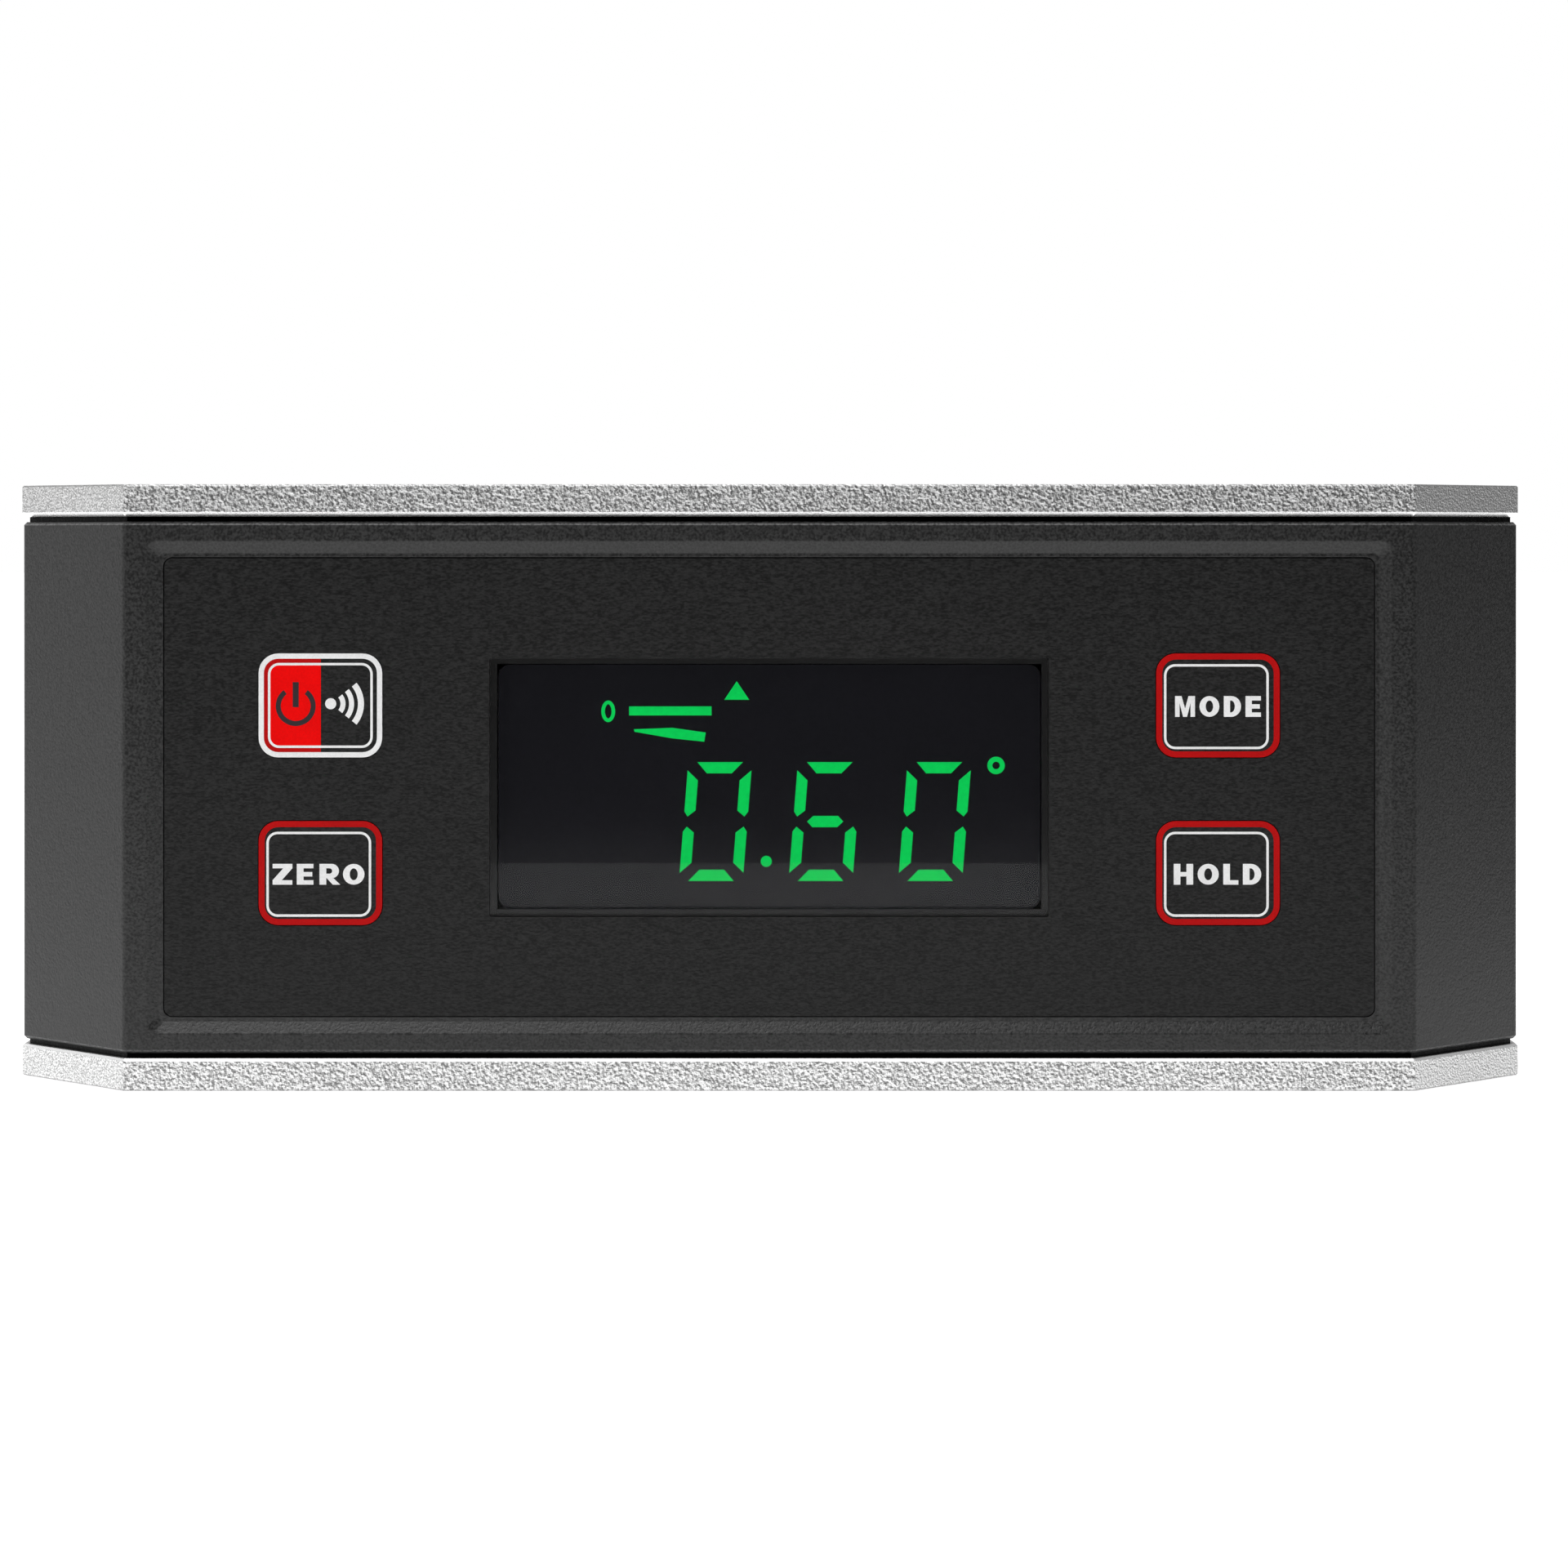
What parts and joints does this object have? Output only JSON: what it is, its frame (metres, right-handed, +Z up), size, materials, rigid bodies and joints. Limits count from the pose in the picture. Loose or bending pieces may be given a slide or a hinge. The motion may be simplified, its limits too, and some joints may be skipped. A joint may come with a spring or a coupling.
{
  "type": "digital spirit level",
  "caption": "Digital spirit level: black casing with display and keys between aluminium top and base plates, with cut front corners and a magnetic base.",
  "frame": {"origin": "centre of the bottom face of the whole level", "axes": "+X along the length, to the right as the user reads the display; -Y towards the user; +Z up"},
  "size_m": [0.1524, 0.028, 0.06],
  "materials": {
    "aluminium_plate": "sandblasted",
    "black_casing": "fine moulded grain",
    "printed_label": "leather grain film",
    "window_plastic": "polished",
    "display_glass": "polished",
    "clear_guide": "clear, diffusing",
    "strip_rubber": "matt",
    "frame_plastic": "satin",
    "board_laminate": "solder mask",
    "chip_resin": "matt",
    "steel_can": "brushed",
    "stem_plastic": "satin",
    "battery_wrap": "printed wrap",
    "contact_plating": "nickel plated",
    "magnet_plating": "nickel plated",
    "screw_steel": "zinc plated"
  },
  "bodies": {
    "root": {"top_plate": "aluminium_plate", "base_plate": "aluminium_plate", "front_casing": "black_casing", "rear_casing": "black_casing", "label_overlay": "printed_label", "window_lens": "window_plastic", "display_cell": "display_glass", "light_guide": "clear_guide", "zebra_strip_top": "strip_rubber", "zebra_strip_bottom": "strip_rubber", "display_frame": "frame_plastic", "main_board": "board_laminate", "processor_chip": "chip_resin", "tilt_sensor": "steel_can", "buzzer": "chip_resin", "clock_crystal": "steel_can", "upper_battery": "battery_wrap", "lower_battery": "battery_wrap", "battery_negative_contact": "contact_plating", "battery_positive_contact": "contact_plating", "battery_bridge_contact": "contact_plating", "case_screws": "screw_steel", "board_screws": "screw_steel", "top_plate_screws": "screw_steel", "base_plate_screws": "screw_steel", "left_magnet": "magnet_plating", "right_magnet": "magnet_plating", "power_switch": "steel_can", "zero_switch": "steel_can", "mode_switch": "steel_can", "hold_switch": "steel_can"},
    "power_key": {"power_key_cap": "printed_label", "power_switch_stem": "stem_plastic"},
    "zero_key": {"zero_key_cap": "printed_label", "zero_switch_stem": "stem_plastic"},
    "mode_key": {"mode_key_cap": "printed_label", "mode_switch_stem": "stem_plastic"},
    "hold_key": {"hold_key_cap": "printed_label", "hold_switch_stem": "stem_plastic"},
    "battery_door": {"battery_door": "black_casing"}
  },
  "joints": [
    {"name": "power_key_press", "type": "slide", "parent": "root", "child": "power_key", "axis": [0, 1, 0], "range_m": [0, 0.0003], "stiffness_N_per_m": 4000, "springref_m": -0.0002},
    {"name": "zero_key_press", "type": "slide", "parent": "root", "child": "zero_key", "axis": [0, 1, 0], "range_m": [0, 0.0003], "stiffness_N_per_m": 4000, "springref_m": -0.0002},
    {"name": "mode_key_press", "type": "slide", "parent": "root", "child": "mode_key", "axis": [0, 1, 0], "range_m": [0, 0.0003], "stiffness_N_per_m": 4000, "springref_m": -0.0002},
    {"name": "hold_key_press", "type": "slide", "parent": "root", "child": "hold_key", "axis": [0, 1, 0], "range_m": [0, 0.0003], "stiffness_N_per_m": 4000, "springref_m": -0.0002},
    {"name": "battery_door_slide", "type": "slide", "parent": "root", "child": "battery_door", "axis": [1, 0, 0], "range_m": [0, 0.0585]}
  ]
}
